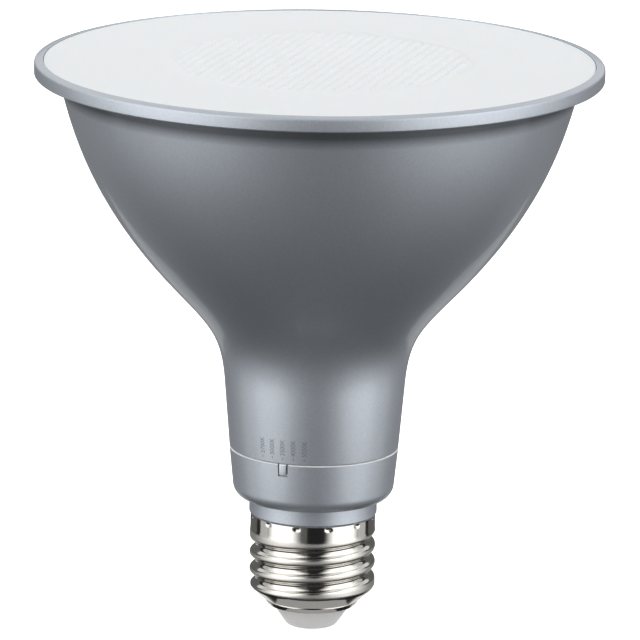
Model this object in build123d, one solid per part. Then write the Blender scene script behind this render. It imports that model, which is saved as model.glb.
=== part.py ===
from build123d import *
import math
import os

# Flood lamp on a screw cap, with a turning ring that selects its colour of light.
# Millimetres, +Z up, cap down. The origin is the foot of the centre contact, on the lamp's axis.
# The pointer on the ring faces -Y, a little to the left; the switch that the ring works is at +Y.

# Screw cap
cap_height = 24.8
contact_head_radius = 2.7
contact_head_height = 0.6
contact_stem_radius = 1.4
contact_stem_above = 1.6
contact_edge_bevel = 0.3
insulator_tip_radius = 5.2
insulator_throat_radius = 8.3
insulator_flange_radius = 9.0
insulator_flange_height = 1.4
insulator_fit = 0.15
shell_wall = 0.5
shell_lip_height = 5.15
shell_lip_rise = 0.3
shell_heel_radius = 9.5
shell_cone_height = 3.75
thread_crest_radius = 13.2
shell_band_step = 0.1
thread_land = 0.04
thread_pitch = 3.629
thread_depth = 1.05
thread_drop = 4.96
thread_full_turns = 2.5
thread_fade_turns = 0.3
stake_count = 12
stake_drop = 0.85
stake_radius = 0.6
stake_depth = 0.35
stake_lead = 0.3
stake_tip_angle = 0.5

# Neck that carries the cap and the ring
neck_wall = 1.4
neck_journal_radius = 12.5
neck_collar_step = 0.9
neck_collar_height = 3.5
neck_collar_bevel = 0.5
neck_stub_fit = 0.15
neck_stub_length = 15.0
neck_window_half_angle = 31.0
neck_window_drop = 2.2
hook_angles = (45.0, 135.0, 225.0, 315.0)
hook_width_angle = 24.0
hook_reach = 0.9
hook_height = 2.6
hook_slot = 1.2
hook_slot_depth = 6.0
guide_rib = 1.0
guide_length = 13.0

# Selector ring and its finger
ring_height = 10.9
ring_foot_step = 4.1
ring_shoulder_round = 3.1
ring_wall = 1.6
ring_hub_height = 3.0
ring_journal_clearance = 0.25
ring_running_gap = 0.1
ring_edge_bevel = 0.2
pointer_angle = -111.3
pointer_width = 1.7
pointer_height = 2.4
pointer_proud = 0.45
finger_lift = 6.2
finger_height = 2.4
finger_width = 1.4
finger_head_radius = 1.1
finger_reach_radius = 11.46
ring_travel_angle = 15.0

# Housing: neck and bowl in one moulding
seam_gap = 0.25
seam_step = 5.2
neck_height = 13.8
neck_top_step = 6.37
bowl_height = 64.9
bowl_overhang = 4.85
bowl_mouth_angle = 16.0
bowl_shape = ((0.043, 0.12), (0.207, 0.25), (0.6, 0.5), (0.869, 0.76))
skin_stations = 8
housing_wall = 1.6
housing_floor = 1.8
housing_edge_bevel = 0.2
neck_hole_fit = 0.1
lip_height = 1.4
lip_wall = 1.0
lip_clearance = 0.35

# Bezel and lens
rim_radius = 59.0
rim_slope_width = 1.9
rim_rise = 0.4
rim_edge_round = 0.35
rim_foot_bevel = 0.3
ledge_height = 1.1
ledge_width = 6.0
spigot_depth = 2.2
spigot_fit = 0.15
lens_height = 2.0
lens_fit = 0.1
lens_edge_bevel = 0.3

# Heat sink, reflector and light source
cup_fit = 0.15
cup_wall = 1.2
cup_rim_drop = 7.0
plate_drop = 33.4
plate_height = 1.5
led_board_radius = 27.0
led_board_height = 1.6
wire_hole_radius = 2.8
led_count = 12
led_circle_radius = 19.5
led_length = 3.5
led_width = 2.8
led_height = 0.8
screw_count = 3
screw_circle_radius = 12.5
screw_radius = 1.5
screw_fit = 0.1
screw_head_radius = 2.8
screw_head_height = 1.9
screw_tail = 2.5
reflector_foot_radius = 23.4
reflector_mouth_radius = 35.0
reflector_wall = 1.0
reflector_lens_gap = 0.1
reflector_side_gap = 0.4
connector_offset = 7.5
connector_width = 6.4
connector_depth = 4.5
connector_height = 3.0

# Driver board and what stands on it
board_front = 0.8
board_thickness = 1.6
board_half_width = 14.0
board_head_gap = 8.0
tongue_half_width = 9.3
tongue_length = 20.0
board_guide_fit = 0.15
part_gap = 0.1
part_spacing = 1.6
transformer_offset = -5.5
core_width = 12.0
core_height = 12.0
core_depth = 5.0
core_leg = 1.8
core_centre_leg = 3.4
core_yoke = 2.0
coil_depth = 10.5
coil_fit = 0.1
input_capacitor_radius = 4.5
input_capacitor_length = 13.0
output_capacitor_radius = 3.5
output_capacitor_length = 11.0
output_capacitor_offset = 7.0
capacitor_groove = 0.4
film_capacitor_offset = 7.5
film_capacitor_width = 8.0
film_capacitor_depth = 5.0
film_capacitor_height = 10.0
part_edge_round = 0.5
fuse_radius = 1.6
fuse_length = 7.0
fuse_offset = 3.5
lead_radius = 0.35
lead_overhang = 1.2
varistor_radius = 3.2
varistor_thickness = 3.0
varistor_offset = -4.0
rectifier_width = 6.5
rectifier_height = 4.7
rectifier_depth = 2.4
chip_width = 4.9
chip_height = 3.9
chip_depth = 1.5

# Slide switch that the finger drives
switch_half_length = 6.6
switch_height = 5.2
switch_depth = 5.0
switch_wall = 0.8
switch_back_wall = 1.6
slider_half_length = 2.2
slider_fit = 0.15
stem_half_width = 1.3
stem_height = 1.8
fork_fit = 0.15
fork_wall = 1.2
fork_root = 1.2
fork_cover = 0.75

# Wires
wire_radius = 0.6
wire_pitch = 1.6
wire_pad = 4.0
wire_side = 3.0
wire_end_gap = 0.05
wire_bend = 1.5

# Levels along the axis, from the contact upwards
shell_top = cap_height
shell_heel = shell_lip_height + shell_lip_rise
insulator_seat = shell_heel + shell_wall
thread_end = shell_top - thread_drop + thread_pitch * (thread_fade_turns + 0.5)
insulator_top = insulator_seat + insulator_flange_height
contact_top = insulator_top + contact_stem_above
collar_top = shell_top + neck_collar_height
ring_bottom = collar_top + ring_running_gap
ring_top = ring_bottom + ring_height
housing_bottom = ring_top + seam_gap
floor_top = housing_bottom + housing_floor
neck_top = housing_bottom + neck_height
bowl_top = neck_top + bowl_height
lens_bottom = bowl_top + ledge_height
lens_top = lens_bottom + lens_height
rim_top = lens_top - rim_rise
plate_top = bowl_top - plate_drop
plate_bottom = plate_top - plate_height
led_board_top = plate_top + led_board_height
board_back = board_front + board_thickness
board_top = plate_bottom - board_head_gap
wire_lie = board_back + wire_radius + part_gap
board_bottom = floor_top - tongue_length
switch_level = ring_bottom + finger_lift
head_level = floor_top + hook_height + part_spacing

# Radii that follow from the fits
shell_root_radius = thread_crest_radius - thread_depth
shell_band_radius = thread_crest_radius - shell_band_step
stub_radius = shell_root_radius - shell_wall - neck_stub_fit
stub_bore = stub_radius - neck_wall
journal_bore = neck_journal_radius - neck_wall
ring_bore = neck_journal_radius + ring_journal_clearance
neck_collar_radius = neck_journal_radius + neck_collar_step
ring_foot_radius = neck_journal_radius + ring_foot_step
seam_radius = neck_journal_radius + seam_step
neck_top_radius = neck_journal_radius + neck_top_step
lens_bore = rim_radius - rim_slope_width
lens_radius = lens_bore - lens_fit
bowl_top_radius = rim_radius - bowl_overhang
ledge_bore = lens_bore - ledge_width
slider_travel = finger_reach_radius * math.radians(ring_travel_angle)


# Shared shapes

def disc(radius, bottom, top):
    """Upright cylinder on the lamp's axis."""
    return Pos(0, 0, bottom) * Cylinder(radius, top - bottom, align=(Align.CENTER, Align.CENTER, Align.MIN))


def tube(outer, inner, bottom, top):
    """Upright sleeve on the lamp's axis."""
    return disc(outer, bottom, top) - disc(inner, bottom, top)


def block(x_span, y_span, z_span):
    """Box between two values on each axis."""
    low, high = zip(x_span, y_span, z_span)
    size = [b - a for a, b in zip(low, high)]
    return Pos(*low) * Box(*size, align=(Align.MIN, Align.MIN, Align.MIN))


def section(points):
    """Closed half-section of a turned piece, from (radius, level) points."""
    return make_face(Plane.XZ * Polyline(*points, close=True))


def turned(points):
    """Solid of revolution from a half-section."""
    return revolve(section(points), Axis.Z)


def inset_path(points, amount):
    """An open outline moved sideways to its left by amount, with its corners kept sharp."""
    corners = [Vector(*point) for point in points]
    runs = [(b - a).normalized() for a, b in zip(corners, corners[1:])]
    normals = [Vector(-run.Y, run.X) for run in runs]
    moved = [corners[0] + normals[0] * amount]
    for corner, before, after in zip(corners[1:], normals, normals[1:]):
        moved.append(corner + (before + after) * (amount / (1 + before.dot(after))))
    moved.append(corners[-1] + normals[-1] * amount)
    return [(point.X, point.Y) for point in moved]


def corner_of(face, corner):
    """The corner of a half-section that lies at (radius, level)."""
    place = Vector(corner[0], 0, corner[1])
    return min(face.vertices(), key=lambda vertex: (Vector(*vertex) - place).length)


def bevel_edge(solid, radius, level, amount):
    """Break the circular edge of a turned piece at a radius and level."""
    def miss(edge):
        return abs(edge.radius - radius) + abs(edge.arc_center.Z - level)
    circles = solid.edges().filter_by(GeomType.CIRCLE)
    return chamfer(min(circles, key=miss), amount)


def around(shape, angles):
    """Copies of a shape turned about the lamp's axis, as separate solids."""
    return [Rot(0, 0, angle) * shape for angle in angles]


def even_angles(count, start=0.0):
    """Angles of an even pattern round the axis."""
    return [start + 360 * index / count for index in range(count)]


def bent_wire(points, radius):
    """Wire along straight runs, mitred where they meet."""
    path = Polyline(*points)
    start = Plane(origin=path @ 0, z_dir=path % 0)
    return sweep(start * Circle(radius), path=path, transition=Transition.RIGHT)


# Screw cap

def thread_section(turn, wall):
    """Cross-section of the rolled groove: a root arc between two crest arcs, open outwards."""
    half_pitch = thread_pitch / 2
    flank = 2 * math.atan(thread_depth / half_pitch)
    roll = half_pitch / (2 * math.sin(flank))
    root_roll = roll + wall
    crest_roll = roll - wall
    crest = thread_crest_radius + thread_land - wall
    past_end = max(-turn, turn - thread_full_turns, 0) / thread_fade_turns
    lift = past_end * past_end * (thread_depth + 3 * thread_land)
    root = crest - thread_depth + lift

    def on_crest(angle):
        return root + thread_depth - crest_roll * (1 - math.cos(angle)), half_pitch - crest_roll * math.sin(angle)

    brink = math.acos(1 - thread_land / 4 / roll)
    outer, upper = on_crest(brink)
    middle = on_crest((flank + brink) / 2)
    joint = root + root_roll * (1 - math.cos(flank)), root_roll * math.sin(flank)
    clear = outer + thread_depth
    outline = [
        ThreePointArc((outer, -upper), (middle[0], -middle[1]), (joint[0], -joint[1])),
        ThreePointArc((joint[0], -joint[1]), (root, 0), joint),
        ThreePointArc(joint, middle, (outer, upper)),
        Polyline((outer, upper), (clear, upper), (clear, -upper), (outer, -upper)),
    ]
    angle = -2 * math.pi * turn
    level = shell_top - thread_drop - thread_pitch * turn
    radial = (math.cos(angle), math.sin(angle), 0)
    along = (math.sin(angle), -math.cos(angle), 0)
    return Plane(origin=(0, 0, level), x_dir=radial, z_dir=along) * make_face(outline)


def thread_groove(wall):
    """Helical groove that dies out at both ends; wall grows it for the inside of the sheet."""
    sections_per_turn = 8
    turns = thread_full_turns + 2 * thread_fade_turns
    steps = round(turns * sections_per_turn)
    stations = [turns * step / steps - thread_fade_turns for step in range(steps + 1)]
    return loft([thread_section(turn, wall) for turn in stations])


def shell_outline():
    """Outside of the cap sheet in section, from the turned-in lip to the top edge."""
    thread_start = shell_top - thread_drop + thread_depth
    return [
        (insulator_throat_radius + insulator_fit, shell_lip_height),
        (shell_heel_radius, shell_heel),
        (thread_crest_radius, shell_heel + shell_cone_height),
        (thread_crest_radius, thread_start),
        (shell_band_radius, thread_start + thread_depth),
        (shell_band_radius, shell_top),
    ]


def cap_form(wall):
    """Solid bounded by the cap sheet, drawn wall inside its outer face, thread included."""
    path = inset_path(shell_outline(), wall)
    threaded_rod = disc(thread_crest_radius - wall, 0, 2 * cap_height) - thread_groove(wall)
    return threaded_rod & turned([(0, path[0][1])] + path + [(0, path[-1][1])])


def screw_shell():
    """Rolled screw shell of even wall, with stake marks round its top band."""
    throat = disc(insulator_throat_radius + insulator_fit, 0, insulator_top)
    shell = cap_form(0) - cap_form(shell_wall) - throat
    reach = stake_depth + stake_lead
    slant = math.degrees(math.atan(stake_radius / stake_depth))
    face = Rectangle(2 * stake_radius * reach / stake_depth, 2 * stake_radius * reach / stake_depth)
    stake = extrude(Rot(0, 0, 45) * face, reach, taper=slant - stake_tip_angle)
    mark = Pos(shell_band_radius + stake_lead, 0, shell_top - stake_drop) * Rot(0, -90, 0) * stake
    return shell - around(mark, even_angles(stake_count, 180 / stake_count))


def cap_insulator():
    """Moulded cone with a flange that rests on the shell's turned-in lip."""
    bore = contact_stem_radius + insulator_fit
    return turned([
        (bore, contact_head_height),
        (insulator_tip_radius, contact_head_height),
        (insulator_throat_radius, shell_lip_height),
        (insulator_throat_radius, insulator_seat),
        (insulator_flange_radius, insulator_seat),
        (insulator_flange_radius, insulator_top),
        (bore, insulator_top),
    ])


def centre_contact():
    """Rivet whose head is the lamp's foot."""
    head = bevel_edge(disc(contact_head_radius, 0, contact_head_height), contact_head_radius, 0, contact_edge_bevel)
    return head + disc(contact_stem_radius, 0, contact_top)


# Neck and selector ring

def base_neck():
    """Fixed tube that holds the cap, gives the ring its journal and snaps into the housing."""
    foot = shell_top - neck_stub_length
    seat_radius = shell_band_radius - shell_wall - neck_stub_fit
    top = floor_top + hook_height
    outside = disc(stub_radius, foot, shell_top)
    outside += disc(seat_radius, thread_end, shell_top)
    outside += bevel_edge(
        disc(neck_collar_radius, shell_top, collar_top), neck_collar_radius, shell_top, neck_collar_bevel)
    outside += disc(neck_journal_radius, collar_top, top)
    neck = outside - disc(stub_bore, foot, collar_top) - disc(journal_bore, shell_top, top)
    return neck - hook_gaps(top) - ring_window(top) + around(hook(top), hook_angles) + guide_ribs()


def wedge(half_angle, bottom, top):
    """Sector about the +X direction, wider than the neck."""
    reach = 2 * neck_journal_radius
    side = reach * math.tan(math.radians(half_angle))
    face = make_face(Polyline((0, 0), (reach, -side), (reach, side), close=True))
    return Pos(0, 0, bottom) * extrude(face, top - bottom)


def hook_gaps(top):
    """What is cut from the neck's upper end to leave springy arms."""
    between = disc(neck_collar_radius, floor_top, top)
    between -= around(wedge(hook_width_angle / 2, floor_top, top), hook_angles)
    reach = (0, neck_collar_radius)
    slot = block(reach, (-hook_slot / 2, hook_slot / 2), (floor_top - hook_slot_depth, top))
    aside = hook_width_angle / 2
    sides = [angle + side for angle in hook_angles for side in (-aside, aside)]
    return [between] + around(slot, sides)


def ring_window(top):
    """Opening at +Y for the ring's finger, open upwards so that the ring can be put on."""
    return Rot(0, 0, 90) * wedge(neck_window_half_angle, collar_top + neck_window_drop, top)


def hook(top):
    """Barb at the head of one arm, over the housing's floor."""
    root = neck_journal_radius - neck_wall / 2
    tip = neck_journal_radius + hook_reach
    under = floor_top + part_gap
    face = section([(root, under), (tip, under), (tip, under + hook_reach), (root, top)])
    width = hook_width_angle - math.degrees(hook_slot / neck_journal_radius)
    return Rot(0, 0, -width / 2) * revolve(face, Axis.Z, revolution_arc=width)


def guide_ribs():
    """Ribs inside the neck that hold the driver board by its two edges."""
    top = floor_top - housing_floor
    levels = (top - guide_length, top)
    front = board_front - board_guide_fit
    back = board_back + board_guide_fit
    ribs = []
    for low, high in ((front - guide_rib, front), (back, back + guide_rib)):
        for side in (-1, 1):
            edges = sorted((side * (tongue_half_width - guide_rib), side * journal_bore))
            ribs.append(block(edges, (low, high), levels) & disc(neck_journal_radius - neck_wall / 2, *levels))
    return ribs


def selector_ring():
    """Turning ring: rounded shoulder, hub on the neck's journal, pointer and drive finger."""
    outline = [(ring_bore, ring_bottom), (ring_foot_radius, ring_bottom), (seam_radius, ring_top)]
    inside = inset_path(outline, ring_wall)
    hub = ring_bore + ring_wall
    hub_top = ring_bottom + ring_hub_height
    inner = [(inside[2][0], ring_top), inside[1], (hub, inside[1][1]), (hub, hub_top), (ring_bore, hub_top)]
    face = section(outline + inner)
    face = fillet(corner_of(face, outline[1]), ring_shoulder_round)
    face = chamfer(corner_of(face, outline[2]), ring_edge_bevel)
    return revolve(face, Axis.Z) + pointer() + drive_finger()


def pointer():
    """Raised tab at the ring's top edge, with its lower corners rounded."""
    half = pointer_width / 2
    tab = Rectangle(pointer_width, pointer_height, align=(Align.CENTER, Align.MAX))
    tab = fillet(tab.vertices().group_by(Axis.Y)[0], 0.6 * half)
    out = Vector(math.cos(math.radians(pointer_angle)), math.sin(math.radians(pointer_angle)), 0)
    root = seam_radius - ring_wall / 2
    face = Plane(origin=out * root + Vector(0, 0, ring_top), x_dir=(-out.Y, out.X, 0), z_dir=out)
    return extrude(face * tab, ring_wall / 2 + pointer_proud)


def drive_finger():
    """Finger at +Y that reaches in through the neck's window, with a round head."""
    levels = (switch_level - finger_height / 2, switch_level + finger_height / 2)
    inner_wall = ring_foot_radius - ring_wall / 2
    bar = block((-finger_width / 2, finger_width / 2), (finger_reach_radius, inner_wall), levels)
    return bar + Pos(0, finger_reach_radius, 0) * disc(finger_head_radius, *levels)


# Housing, bezel and lens

def skin(inset):
    """Neck and bowl outline in section, inset inside the painted face: a taper, then a curve."""
    foot = Vector(seam_radius, housing_bottom)
    head = Vector(neck_top_radius, neck_top)
    span = Vector(bowl_top_radius, bowl_top) - head
    taper = (head - foot).normalized()
    mouth_angle = math.radians(bowl_mouth_angle)
    mouth = Vector(math.sin(mouth_angle), math.cos(mouth_angle))
    shares = ((0, 0),) + bowl_shape + ((1, 1),)
    curve = Spline(*[head + Vector(u * span.X, v * span.Y) for u, v in shares], tangents=(taper, mouth))
    moved = []
    for station in range(skin_stations + 1):
        along = curve % (station / skin_stations)
        moved.append(curve @ (station / skin_stations) + Vector(-along.Y, along.X) * inset)
    start = foot + Vector(-taper.Y, taper.X) * inset
    return Line(start, moved[0]), Spline(*moved, tangents=(taper, mouth))


def bowl_form(inset):
    """Solid of revolution bounded by the skin at an inset."""
    taper, curve = skin(inset)
    foot = taper @ 0
    mouth = curve @ 1
    closing = Polyline(mouth, (0, mouth.Y), (0, foot.Y), foot)
    return revolve(make_face([Plane.XZ * edge for edge in (taper, curve, closing)]), Axis.Z)


def outer_housing():
    """Thin bowl and neck with a floor that the base neck snaps into, and a lip inside the ring."""
    cavity = bowl_form(housing_wall) & disc(rim_radius, floor_top, lens_top)
    shell = bevel_edge(bowl_form(0), seam_radius, housing_bottom, housing_edge_bevel) - cavity
    ring_inside = inset_path([(ring_foot_radius, ring_bottom), (seam_radius, ring_top)], ring_wall)
    fall = (ring_inside[1][0] - ring_inside[0][0]) / ring_height
    lip_radius = ring_inside[1][0] - fall * lip_height - lip_clearance
    lip = tube(lip_radius, lip_radius - lip_wall, housing_bottom - lip_height, housing_bottom)
    hole = disc(neck_journal_radius + neck_hole_fit, housing_bottom, floor_top)
    return shell + lip - hole


def front_bezel():
    """Ring round the lens: outer band, sloping top, ledge under the lens and a spigot in the bowl."""
    face = section([
        (ledge_bore, bowl_top),
        (rim_radius, bowl_top),
        (rim_radius, rim_top),
        (lens_bore, lens_top),
        (lens_bore, lens_bottom),
        (ledge_bore, lens_bottom),
    ])
    face = chamfer(corner_of(face, (rim_radius, bowl_top)), rim_foot_bevel)
    face = fillet(corner_of(face, (rim_radius, rim_top)), rim_edge_round)
    spigot = bowl_form(housing_wall + spigot_fit) & disc(rim_radius, bowl_top - spigot_depth, bowl_top)
    return revolve(face, Axis.Z) + (spigot - disc(ledge_bore, 0, lens_top))


def front_lens():
    """Flat cover with a bevelled upper edge."""
    return bevel_edge(disc(lens_radius, lens_bottom, lens_top), lens_radius, lens_top, lens_edge_bevel)


# Heat sink, reflector and light source

def screw_places():
    """Turns that bring a screw on the +X axis to each of its places, clear of the connector."""
    return even_angles(screw_count, 90)


def wire_hole():
    """Hole through the plate and the light source's board, over the place where the wires start."""
    return Pos(0, wire_lie, 0) * disc(wire_hole_radius, plate_bottom, led_board_top)


def heat_sink_cup():
    """Pressed cup that follows the bowl, with a flat plate for the light source."""
    inset = housing_wall + cup_fit
    outside = bowl_form(inset) & disc(rim_radius, plate_bottom, bowl_top - cup_rim_drop)
    cup = outside - (bowl_form(inset + cup_wall) & disc(rim_radius, plate_top, bowl_top))
    hole = Pos(screw_circle_radius, 0, 0) * disc(screw_radius + screw_fit, plate_bottom, plate_top)
    return cup - wire_hole() - around(hole, screw_places())


def led_board():
    """Round metal-core board with holes for its screws and wires."""
    board = disc(led_board_radius, plate_top, led_board_top)
    hole = Pos(screw_circle_radius, 0, 0) * disc(screw_radius + screw_fit, plate_top, led_board_top)
    return board - wire_hole() - around(hole, screw_places())


def led_ring(start):
    """Every second emitter of the circle, from a start angle."""
    half = (led_length / 2, led_width / 2)
    emitter = block((-half[0], half[0]), (-half[1], half[1]), (led_board_top, led_board_top + led_height))
    return around(Pos(led_circle_radius, 0, 0) * emitter, even_angles(led_count, start))


def board_screws():
    """Pan-head screws through the board into the plate."""
    shank = disc(screw_radius, plate_bottom - screw_tail, led_board_top)
    head = disc(screw_head_radius, led_board_top, led_board_top + screw_head_height)
    head = chamfer(head.edges().group_by(Axis.Z)[-1], screw_head_height / 3)
    return around(Pos(screw_circle_radius, 0, 0) * (shank + head), screw_places())


def reflector():
    """White cone from the board to the lens, with a flat surround under the lens."""
    brow = lens_bottom - reflector_lens_gap
    outer = ledge_bore - reflector_side_gap
    path = [(reflector_foot_radius, led_board_top), (reflector_mouth_radius, brow), (outer, brow)]
    back = inset_path(path, -reflector_wall)
    back[0] = (back[0][0] + reflector_wall / 2, led_board_top)
    return turned(path + back[::-1])


def led_connector():
    """Terminal block on the light source's board."""
    half = connector_width / 2
    depth = (-connector_offset - connector_depth, -connector_offset)
    body = block((-half, half), depth, (led_board_top, led_board_top + connector_height))
    return chamfer(body.edges().group_by(Axis.Z)[-1], part_edge_round)


def led_wires():
    """Wires from the driver board, up through the plate and over to the connector."""
    entry = led_board_top + connector_height / 2
    wires = []
    for side in (-1, 0, 1):
        x = side * wire_pitch
        wires.append(bent_wire([
            (x, wire_lie, board_top - wire_pad),
            (x, wire_lie, entry - wire_bend),
            (x, wire_lie - wire_bend, entry),
            (x, -connector_offset + wire_end_gap, entry),
        ], wire_radius))
    return wires


# Driver board and its parts

def driver_board():
    """T-shaped board: its head rests on the housing's floor, its tongue hangs in the neck."""
    faces = (board_front, board_back)
    head = block((-board_half_width, board_half_width), faces, (floor_top, board_top))
    tongue = block((-tongue_half_width, tongue_half_width), faces, (board_bottom, floor_top))
    return head + tongue


def transformer_place():
    """Middle of the transformer: on the board's front face, at the foot of its head."""
    return Pos(transformer_offset, board_front - coil_depth / 2, head_level + core_height / 2)


def transformer_core():
    """Ferrite frame with a centre leg."""
    window_width = (core_width - core_centre_leg) / 2 - core_leg
    window_height = core_height - 2 * core_yoke
    window = Box(window_width, core_depth, window_height)
    aside = (core_centre_leg + window_width) / 2
    core = Box(core_width, core_depth, core_height) - Pos(aside, 0, 0) * window - Pos(-aside, 0, 0) * window
    return transformer_place() * core


def transformer_coil():
    """Wound bobbin round the centre leg."""
    width = core_width - 2 * core_leg - 2 * coil_fit
    height = core_height - 2 * core_yoke - 2 * coil_fit
    coil = Box(width, coil_depth, height)
    coil = fillet(coil.edges().filter_by(Axis.Z), width / 5)
    leg = Box(core_centre_leg + 2 * coil_fit, core_depth + 2 * coil_fit, height)
    return transformer_place() * (coil - leg)


def can_capacitor(radius, length, offset, level):
    """Can with a crimped groove near its foot, lying along the board's front."""
    groove = level + length / 5
    can = turned([
        (0, level),
        (radius, level),
        (radius, groove - capacitor_groove),
        (radius - capacitor_groove, groove),
        (radius, groove + capacitor_groove),
        (radius, level + length),
        (0, level + length),
    ])
    return Pos(offset, board_front - radius - part_gap, 0) * can


def film_capacitor():
    """Boxed film capacitor beside the transformer."""
    half = film_capacitor_width / 2
    width = (film_capacitor_offset - half, film_capacitor_offset + half)
    depth = (board_front - film_capacitor_depth, board_front)
    box = block(width, depth, (head_level, head_level + film_capacitor_height))
    return fillet(box.edges().group_by(Axis.Y)[0], part_edge_round)


def fuse_resistor():
    """Axial resistor at the foot of the tongue, with both leads bent to the board."""
    axis = board_front - fuse_radius - part_gap
    low = board_bottom + wire_pad + lead_overhang + part_spacing
    high = low + fuse_length
    resistor = disc(fuse_radius, low, high) + disc(lead_radius, low - lead_overhang, high + lead_overhang)
    leg = Plane(origin=(0, 0, 0), z_dir=(0, 1, 0)) * disc(lead_radius, 0, board_front - axis)
    for level in (low - lead_overhang, high + lead_overhang):
        resistor += Pos(0, 0, level) * leg
    return Pos(fuse_offset, axis, 0) * resistor


def varistor():
    """Disc varistor flat on the tongue."""
    level = board_bottom + tongue_length / 2
    disc_plane = Plane(origin=(varistor_offset, board_front, level), z_dir=(0, -1, 0))
    body = extrude(disc_plane * Circle(varistor_radius), varistor_thickness)
    return chamfer(body.edges().group_by(Axis.Y)[0], part_edge_round)


def flat_package(width, height, depth, level):
    """Small moulded package on the back of the board."""
    body = block((-width / 2, width / 2), (board_back, board_back + depth), (level, level + height))
    return chamfer(body.edges().group_by(Axis.Y)[-1], depth / 5)


# Slide switch

def switch_body():
    """Switch case on the back of the board, with a slot for the stem in its face."""
    face = board_back + switch_depth
    half = switch_height / 2
    levels = (switch_level - half, switch_level + half)
    case = block((-switch_half_length, switch_half_length), (board_back, face), levels)
    room = slider_half_length + slider_travel + slider_fit
    inside = (levels[0] + switch_wall, levels[1] - switch_wall)
    case -= block((-room, room), (board_back + switch_back_wall, face - switch_wall), inside)
    slot = stem_half_width + slider_travel + slider_fit
    stem = stem_height / 2 + slider_fit
    return case - block((-slot, slot), (board_back + switch_back_wall, face), (switch_level - stem, switch_level + stem))


def switch_slider():
    """Slider with a stem through the case and a fork round the finger's head."""
    face = board_back + switch_depth
    half = switch_height / 2 - switch_wall - slider_fit
    depth = (board_back + switch_back_wall + slider_fit, face - switch_wall - slider_fit)
    carriage = block((-slider_half_length, slider_half_length), depth, (switch_level - half, switch_level + half))
    stem = (switch_level - stem_height / 2, switch_level + stem_height / 2)
    gap = finger_head_radius + fork_fit
    sweep_in = finger_reach_radius * (1 - math.cos(math.radians(ring_travel_angle)))
    throat = finger_reach_radius - sweep_in - finger_head_radius - 2 * fork_fit
    tip = finger_reach_radius + fork_cover
    neck = block((-stem_half_width, stem_half_width), (depth[1], throat), stem)
    fork = block((-gap - fork_wall, gap + fork_wall), (throat - fork_root, tip), stem)
    return carriage + neck + fork - block((-gap, gap), (throat, tip), stem)


# Wires to the cap

def line_wire():
    """Wire from the driver board to the centre contact's stem."""
    lie = board_front - wire_radius - part_gap
    bend = board_bottom - wire_pad
    return bent_wire([
        (wire_side, lie, board_bottom + wire_pad),
        (wire_side, lie, bend),
        (0, 0, (bend + contact_top) / 2),
        (0, 0, contact_top + wire_end_gap),
    ], wire_radius)


def neutral_wire():
    """Wire from the driver board to the inside of the screw shell, under the neck's stub."""
    lie = board_front - wire_radius - part_gap
    pass_level = shell_top - neck_stub_length - wire_radius - 2 * part_gap
    cone_slope = (thread_crest_radius - shell_heel_radius) / shell_cone_height
    cone_radius = shell_heel_radius + cone_slope * (pass_level - wire_radius - shell_heel)
    shell_inside = cone_radius - shell_wall * math.hypot(1, cone_slope)
    return bent_wire([
        (-wire_side, lie, board_bottom + wire_pad),
        (-wire_side, lie, pass_level + wire_bend),
        (-wire_side - wire_bend, lie, pass_level),
        (-shell_inside + 2 * wire_end_gap, lie, pass_level),
    ], wire_radius)


capacitor_level = head_level + core_height + part_spacing
pieces = {
    "front_lens": front_lens(),
    "front_bezel": front_bezel(),
    "outer_housing": outer_housing(),
    "selector_ring": selector_ring(),
    "base_neck": base_neck(),
    "screw_shell": screw_shell(),
    "cap_insulator": cap_insulator(),
    "centre_contact": centre_contact(),
    "heat_sink_cup": heat_sink_cup(),
    "led_board": led_board(),
    "warm_leds": led_ring(0),
    "cool_leds": led_ring(180 / led_count),
    "board_screws": board_screws(),
    "reflector": reflector(),
    "led_connector": led_connector(),
    "led_wires": led_wires(),
    "driver_board": driver_board(),
    "transformer_core": transformer_core(),
    "transformer_coil": transformer_coil(),
    "input_capacitor": can_capacitor(
        input_capacitor_radius, input_capacitor_length, transformer_offset, capacitor_level),
    "output_capacitor": can_capacitor(
        output_capacitor_radius, output_capacitor_length, output_capacitor_offset, capacitor_level),
    "film_capacitor": film_capacitor(),
    "varistor": varistor(),
    "fuse_resistor": fuse_resistor(),
    "bridge_rectifier": flat_package(
        rectifier_width, rectifier_height, rectifier_depth, board_bottom + wire_pad + part_spacing),
    "controller_chip": flat_package(chip_width, chip_height, chip_depth, head_level),
    "switch_body": switch_body(),
    "switch_slider": switch_slider(),
    "line_wire": line_wire(),
    "neutral_wire": neutral_wire(),
}

os.makedirs("parts", exist_ok=True)
for node, shape in pieces.items():
    solids = shape if isinstance(shape, list) else [shape]
    export_step(Compound(children=solids) if len(solids) > 1 else solids[0], f"parts/{node}.step")
    print(node, len(solids))
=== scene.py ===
# %% [markdown]
# # A flood lamp with a selector ring
# This lesson dresses a finished CAD model. The CAD gives every piece its size and place, and Blender gives
# it a smooth skin, fine detail and a finish. The lamp is a silver bowl with a frosted lens, a ring that
# turns to choose the colour of the light, and a screw cap.

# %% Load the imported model
import math
import bpy
from mathutils import Matrix, Vector
from mathutils.geometry import interpolate_bezier


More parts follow.
